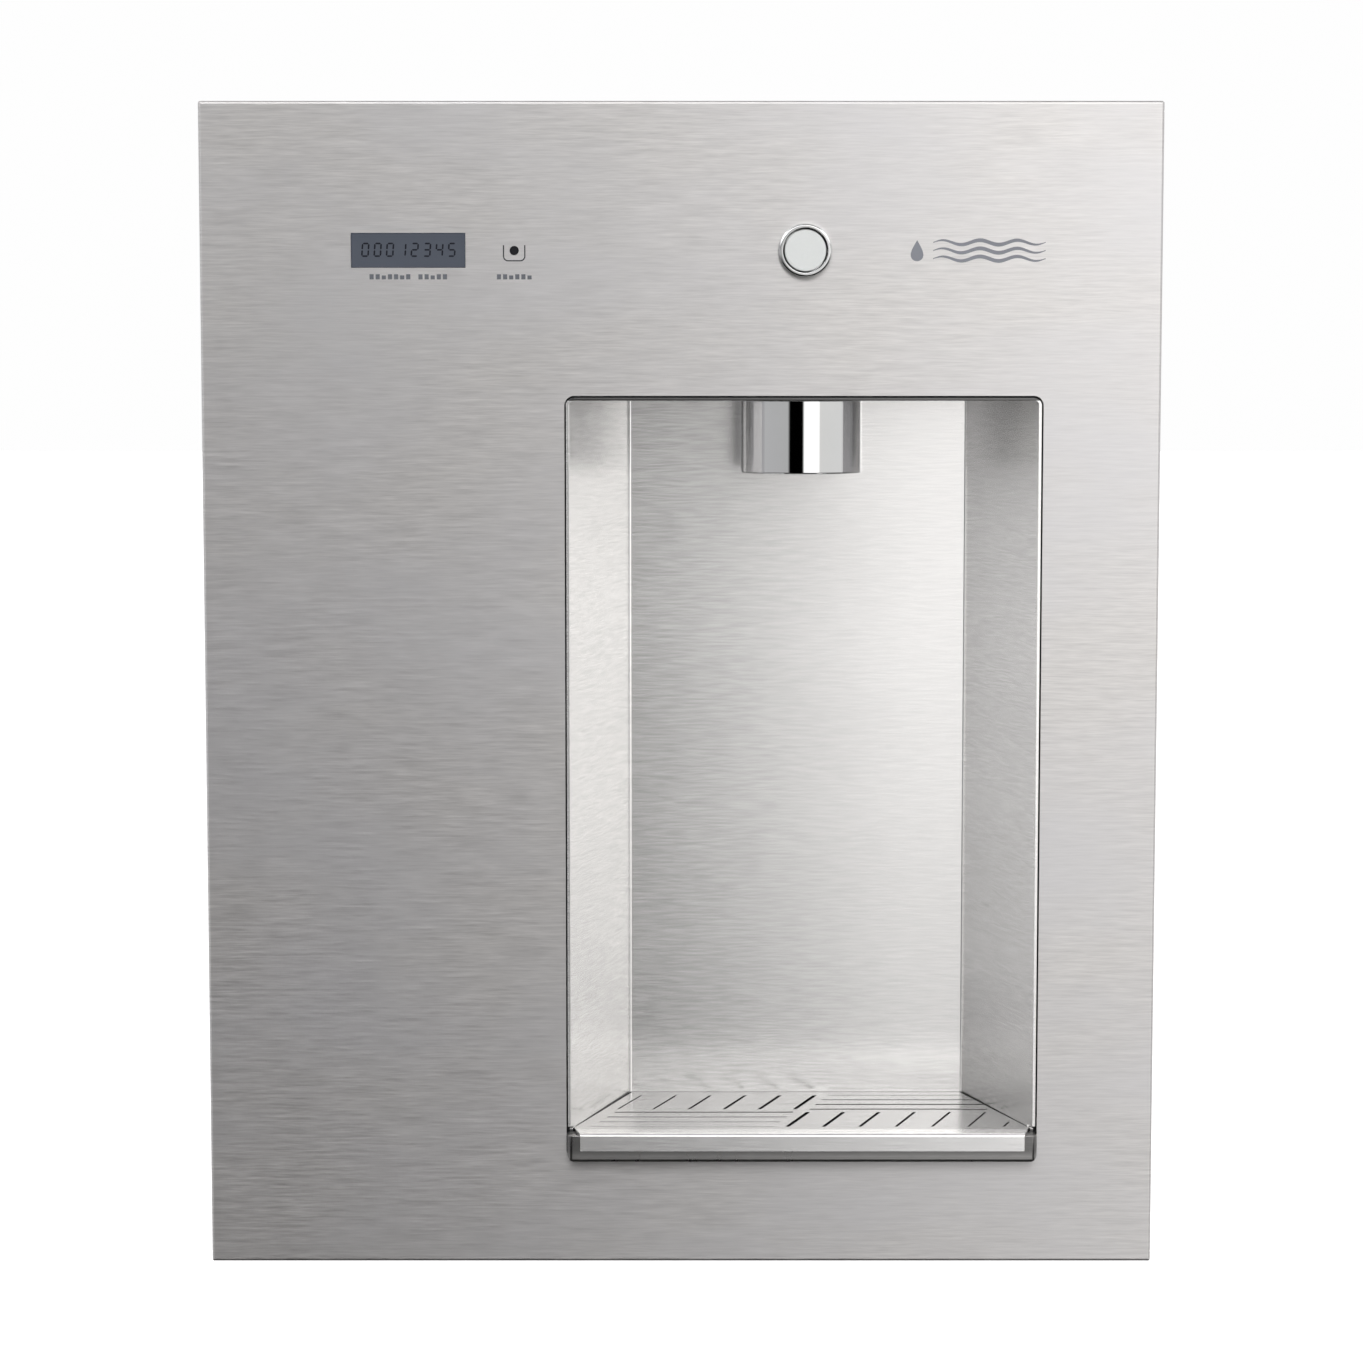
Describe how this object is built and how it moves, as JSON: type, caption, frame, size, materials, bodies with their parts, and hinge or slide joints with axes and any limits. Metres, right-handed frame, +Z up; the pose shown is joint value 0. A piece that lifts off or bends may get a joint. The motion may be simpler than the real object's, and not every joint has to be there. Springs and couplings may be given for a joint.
{
  "type": "in-wall water dispenser",
  "caption": "Built-in filtered water dispenser: flat stainless face panel with a recessed bottle alcove, nozzle, push button, drip tray and a steel wall box behind",
  "frame": {"origin": "centre of the face panel on the finished wall's plane", "axes": "+X right as seen from the room, +Y into the wall, +Z up"},
  "size_m": [0.394, 0.1123, 0.482],
  "materials": {
    "galvanised_steel": "galvanised sheet",
    "black_rubber": "matte",
    "zinc_screws": "bright zinc",
    "satin_stainless": "satin",
    "tray_steel": "satin",
    "chrome": "polished",
    "grey_plastic": "fine grain",
    "brass": "satin",
    "ivory_plastic": "moulded",
    "white_plastic": "moulded",
    "white_gloss_plastic": "gloss",
    "blue_plastic": "moulded",
    "black_plastic": "fine grain",
    "coil_plastic": "overmoulded",
    "spring_steel": "drawn wire",
    "blue_tube": "translucent tubing",
    "circuit_board": "solder mask",
    "aluminium": "anodised",
    "lead_sleeve": "braided sleeve",
    "magnet_nickel": "nickel plate",
    "brushed_stainless": "horizontal brushed grain",
    "display_grey": "smoked",
    "indicator_black": "gloss",
    "satin_cap": "satin"
  },
  "bodies": {
    "cabinet": {"wall_box": "galvanised_steel", "power_grommet": "black_rubber", "water_grommet": "black_rubber", "front_frame": "galvanised_steel", "frame_screws": "zinc_screws", "alcove_liner": "satin_stainless", "alcove_seal": "black_rubber", "sheet_screws": "zinc_screws", "nozzle_shroud": "chrome", "nozzle_body": "grey_plastic", "nozzle_aerator": "grey_plastic", "nozzle_gasket": "black_rubber", "nozzle_nut": "brass", "nozzle_elbow": "ivory_plastic", "filter_bracket": "galvanised_steel", "bracket_screws": "zinc_screws", "filter_head": "white_plastic", "inlet_valve": "brass", "flow_sensor": "black_plastic", "solenoid_valve": "ivory_plastic", "solenoid_coil": "coil_plastic", "plunger_spring": "spring_steel", "tube_to_filter": "blue_tube", "tube_from_filter": "blue_tube", "tube_to_solenoid": "blue_tube", "tube_to_nozzle": "blue_tube", "push_fit_collets": "grey_plastic", "control_box": "black_plastic", "control_cover": "black_plastic", "cover_screws": "zinc_screws", "control_board": "circuit_board", "power_supply": "aluminium", "power_lead": "lead_sleeve", "solenoid_lead": "lead_sleeve", "sensor_lead": "lead_sleeve", "panel_lead": "lead_sleeve", "frame_socket": "black_plastic", "catch_magnets": "magnet_nickel"},
    "face_panel": {"front_panel": "brushed_stainless", "panel_strikes": "zinc_screws", "locating_pins": "zinc_screws", "panel_plug": "black_plastic", "display_window": "display_grey", "display_module": "display_grey", "display_board": "circuit_board", "display_housing": "black_plastic", "filter_indicator": "indicator_black", "button_bezel": "chrome", "button_spring": "spring_steel", "button_gasket": "black_rubber", "button_nut": "zinc_screws", "button_switch": "black_plastic"},
    "push_button": {"button_cap": "satin_cap"},
    "tray": {"drip_tray": "tray_steel"},
    "tray_plate": {"drip_grille": "satin_stainless"},
    "cartridge": {"filter_cartridge": "white_gloss_plastic", "filter_oring": "black_rubber"},
    "valve_lever": {"inlet_valve_lever": "blue_plastic"},
    "rotor": {"flow_rotor": "white_plastic"},
    "plunger": {"solenoid_plunger": "zinc_screws"}
  },
  "joints": [
    {"name": "panel_pull", "type": "slide", "parent": "cabinet", "child": "face_panel", "axis": [0, -1, 0], "range_m": [0, 0.12]},
    {"name": "button_press", "type": "slide", "parent": "face_panel", "child": "push_button", "axis": [0, 1, 0], "range_m": [0, 0.002], "stiffness_N_per_m": 900, "springref_m": -0.0015, "deforming": ["button_spring"]},
    {"name": "tray_pull", "type": "slide", "parent": "cabinet", "child": "tray", "axis": [0, -1, 0], "range_m": [0, 0.1]},
    {"name": "plate_lift", "type": "slide", "parent": "tray", "child": "tray_plate", "axis": [0, 0, 1], "range_m": [0, 0.08]},
    {"name": "cartridge_twist", "type": "hinge", "parent": "cabinet", "child": "cartridge", "pos_m": [-0.12, 0.046, -0.05], "axis": [0, 0, 1], "range_deg": [0, 90]},
    {"name": "lever_turn", "type": "hinge", "parent": "cabinet", "child": "valve_lever", "pos_m": [-0.062, 0.03, -0.176], "axis": [0, 1, 0], "range_deg": [0, 90]},
    {"name": "rotor_spin", "type": "hinge", "parent": "cabinet", "child": "rotor", "pos_m": [-0.058, 0.046, 0.15], "axis": [0, 1, 0], "continuous": true},
    {"name": "plunger_lift", "type": "slide", "parent": "cabinet", "child": "plunger", "axis": [0, 0, 1], "range_m": [0, 0.0025], "stiffness_N_per_m": 400, "springref_m": -0.004, "deforming": ["plunger_spring"]}
  ]
}
